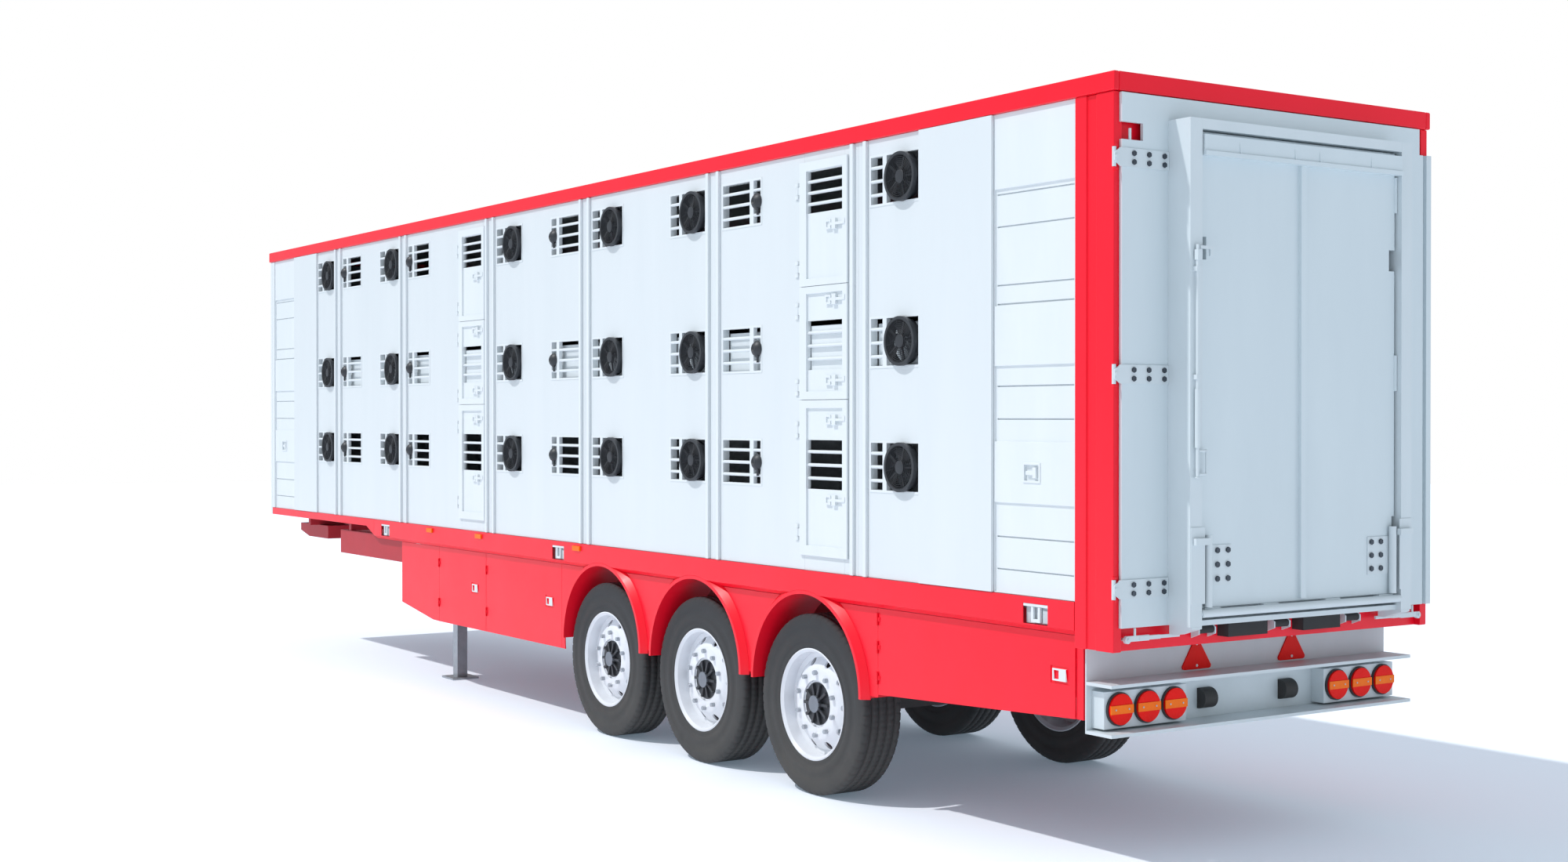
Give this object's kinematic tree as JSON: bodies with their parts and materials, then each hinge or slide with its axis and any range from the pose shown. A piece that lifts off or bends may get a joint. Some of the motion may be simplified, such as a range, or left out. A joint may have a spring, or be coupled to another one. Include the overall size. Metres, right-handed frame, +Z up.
{
  "type": "livestock semi-trailer",
  "caption": "Multi-deck livestock semi-trailer with ventilated side walls, side doors, a swinging rear door with a fold-down ramp, axles with single tyres and landing legs.",
  "frame": {"origin": "on the ground, under the centre of the overall bounding box", "axes": "+X towards the rear doors, -Y the vehicle's left side, +Z up"},
  "size_m": [13.62, 2.588, 4.276],
  "materials": {
    "chassis_red": "satin red paint, road-dusted",
    "red_paint": "gloss red paint",
    "dark_steel": "satin black paint",
    "zinc": "galvanised, satin",
    "aluminium": "mill finish",
    "white_panel": "white coated, smooth satin",
    "white_trim": "white powder coat",
    "white_frame": "white powder coat",
    "white_leaf": "white powder coat",
    "dark_plastic": "moulded, fine grain",
    "black_rubber": "matte moulded",
    "tyre": "matte, dusty",
    "white_rim": "gloss white rim",
    "grey_panel": "light grey satin coat",
    "grey_frame": "light grey satin coat",
    "red_lens": "moulded lens",
    "orange_lens": "moulded lens",
    "grey_hook": "satin, worn"
  },
  "bodies": {
    "trailer": {"chassis_frame": "chassis_red", "coupler_plate": "dark_steel", "leg_housings": "chassis_red", "floor": "aluminium", "wall_left": "white_panel", "wall_right": "white_panel", "wall_ribs": "white_trim", "front_wall": "white_trim", "roof_panel": "white_panel", "top_rim": "red_paint", "rear_frame": "red_paint", "valances": "red_paint", "skirts": "red_paint", "fenders": "red_paint", "slat_panels": "white_trim", "window_grilles": "white_frame", "vent_fans": "dark_plastic", "drinkers": "dark_plastic", "hinge_pins": "white_trim", "axle_beams": "dark_steel", "suspension_arms": "dark_steel", "air_springs": "black_rubber", "bumper": "grey_frame", "tail_lamps": "red_lens", "reflectors": "orange_lens", "rubber_buffers": "black_rubber", "lashing_hooks": "grey_hook"},
    "wheel_left_1": {"tyre_left_1": "tyre", "wheel_left_1": "white_rim"},
    "wheel_left_2": {"tyre_left_2": "tyre", "wheel_left_2": "white_rim"},
    "wheel_left_3": {"tyre_left_3": "tyre", "wheel_left_3": "white_rim"},
    "wheel_right_1": {"tyre_right_1": "tyre", "wheel_right_1": "white_rim"},
    "wheel_right_2": {"tyre_right_2": "tyre", "wheel_right_2": "white_rim"},
    "wheel_right_3": {"tyre_right_3": "tyre", "wheel_right_3": "white_rim"},
    "side_door_rear_low": {"side_door_rear_low": "white_leaf"},
    "side_door_rear_mid": {"side_door_rear_mid": "white_leaf"},
    "side_door_rear_top": {"side_door_rear_top": "white_leaf"},
    "side_door_front_low": {"side_door_front_low": "white_leaf"},
    "side_door_front_mid": {"side_door_front_mid": "white_leaf"},
    "side_door_front_top": {"side_door_front_top": "white_leaf"},
    "locker_door_front": {"locker_door_front": "red_paint"},
    "locker_door_middle": {"locker_door_middle": "red_paint"},
    "locker_door_rear": {"locker_door_rear": "red_paint"},
    "rear_door": {"rear_door": "grey_panel", "door_box": "grey_frame", "strap_hinges": "grey_frame"},
    "ramp": {"ramp": "grey_panel", "ramp_hinges": "grey_frame"},
    "lock_bar": {"lock_bar": "grey_frame"},
    "latch_left": {"latch_left": "grey_frame"},
    "latch_right": {"latch_right": "grey_frame"},
    "leg_left": {"leg_left": "zinc"},
    "leg_right": {"leg_right": "zinc"},
    "deck_middle": {"deck_middle": "aluminium"},
    "deck_upper": {"deck_upper": "aluminium"}
  },
  "joints": [
    {"name": "wheel_left_1_spin", "type": "hinge", "parent": "trailer", "child": "wheel_left_1", "pos_m": [3.7, -1.06, 0.59], "axis": [0, 1, 0], "continuous": true},
    {"name": "wheel_left_2_spin", "type": "hinge", "parent": "trailer", "child": "wheel_left_2", "pos_m": [2.3, -1.06, 0.59], "axis": [0, 1, 0], "continuous": true},
    {"name": "wheel_left_3_spin", "type": "hinge", "parent": "trailer", "child": "wheel_left_3", "pos_m": [0.9, -1.06, 0.59], "axis": [0, 1, 0], "continuous": true},
    {"name": "wheel_right_1_spin", "type": "hinge", "parent": "trailer", "child": "wheel_right_1", "pos_m": [3.7, 1.06, 0.59], "axis": [0, 1, 0], "continuous": true},
    {"name": "wheel_right_2_spin", "type": "hinge", "parent": "trailer", "child": "wheel_right_2", "pos_m": [2.3, 1.06, 0.59], "axis": [0, 1, 0], "continuous": true},
    {"name": "wheel_right_3_spin", "type": "hinge", "parent": "trailer", "child": "wheel_right_3", "pos_m": [0.9, 1.06, 0.59], "axis": [0, 1, 0], "continuous": true},
    {"name": "side_door_rear_low_swing", "type": "hinge", "parent": "trailer", "child": "side_door_rear_low", "pos_m": [3.642, -1.268, 2.07], "axis": [0, 0, -1], "range_deg": [0, 115]},
    {"name": "side_door_rear_mid_swing", "type": "hinge", "parent": "trailer", "child": "side_door_rear_mid", "pos_m": [3.642, -1.268, 2.94], "axis": [0, 0, -1], "range_deg": [0, 115]},
    {"name": "side_door_rear_top_swing", "type": "hinge", "parent": "trailer", "child": "side_door_rear_top", "pos_m": [3.642, -1.268, 3.71], "axis": [0, 0, -1], "range_deg": [0, 115]},
    {"name": "side_door_front_low_swing", "type": "hinge", "parent": "trailer", "child": "side_door_front_low", "pos_m": [-1.752, -1.268, 2.07], "axis": [0, 0, -1], "range_deg": [0, 115]},
    {"name": "side_door_front_mid_swing", "type": "hinge", "parent": "trailer", "child": "side_door_front_mid", "pos_m": [-1.752, -1.268, 2.94], "axis": [0, 0, -1], "range_deg": [0, 115]},
    {"name": "side_door_front_top_swing", "type": "hinge", "parent": "trailer", "child": "side_door_front_top", "pos_m": [-1.752, -1.268, 3.71], "axis": [0, 0, -1], "range_deg": [0, 115]},
    {"name": "locker_door_front_swing", "type": "hinge", "parent": "trailer", "child": "locker_door_front", "pos_m": [-2.276, -1.227, 0.96], "axis": [0, 0, -1], "range_deg": [0, 110]},
    {"name": "locker_door_middle_swing", "type": "hinge", "parent": "trailer", "child": "locker_door_middle", "pos_m": [-1.257, -1.227, 0.96], "axis": [0, 0, -1], "range_deg": [0, 110]},
    {"name": "locker_door_rear_swing", "type": "hinge", "parent": "trailer", "child": "locker_door_rear", "pos_m": [4.455, -1.227, 1.03], "axis": [0, 0, -1], "range_deg": [0, 110]},
    {"name": "rear_door_swing", "type": "hinge", "parent": "trailer", "child": "rear_door", "pos_m": [6.603, -1.274, 2.687], "axis": [0, 0, -1], "range_deg": [0, 160]},
    {"name": "ramp_fold", "type": "hinge", "parent": "rear_door", "child": "ramp", "pos_m": [6.765, 0, 1.419], "axis": [0, 1, 0], "range_deg": [0, 115]},
    {"name": "lock_bar_turn", "type": "hinge", "parent": "rear_door", "child": "lock_bar", "pos_m": [6.796, -0.859, 2.7], "axis": [0, 0, -1], "range_deg": [0, 90]},
    {"name": "latch_left_drop", "type": "hinge", "parent": "trailer", "child": "latch_left", "pos_m": [6.598, -1.174, 1.288], "axis": [-1, 0, 0], "range_deg": [0, 70]},
    {"name": "latch_right_drop", "type": "hinge", "parent": "trailer", "child": "latch_right", "pos_m": [6.598, 1.174, 1.288], "axis": [1, 0, 0], "range_deg": [0, 70]},
    {"name": "leg_left_raise", "type": "slide", "parent": "trailer", "child": "leg_left", "axis": [0, 0, 1], "range_m": [0, 0.38]},
    {"name": "leg_right_raise", "type": "slide", "parent": "trailer", "child": "leg_right", "axis": [0, 0, 1], "range_m": [0, 0.38]},
    {"name": "deck_middle_lift", "type": "slide", "parent": "trailer", "child": "deck_middle", "axis": [0, 0, 1], "range_m": [0, 0.6]},
    {"name": "deck_upper_lift", "type": "slide", "parent": "trailer", "child": "deck_upper", "axis": [0, 0, 1], "range_m": [0, 0.7]}
  ],
  "couplings": [
    {"joint": "leg_right_raise", "follows": "leg_left_raise", "ratio": 1}
  ]
}
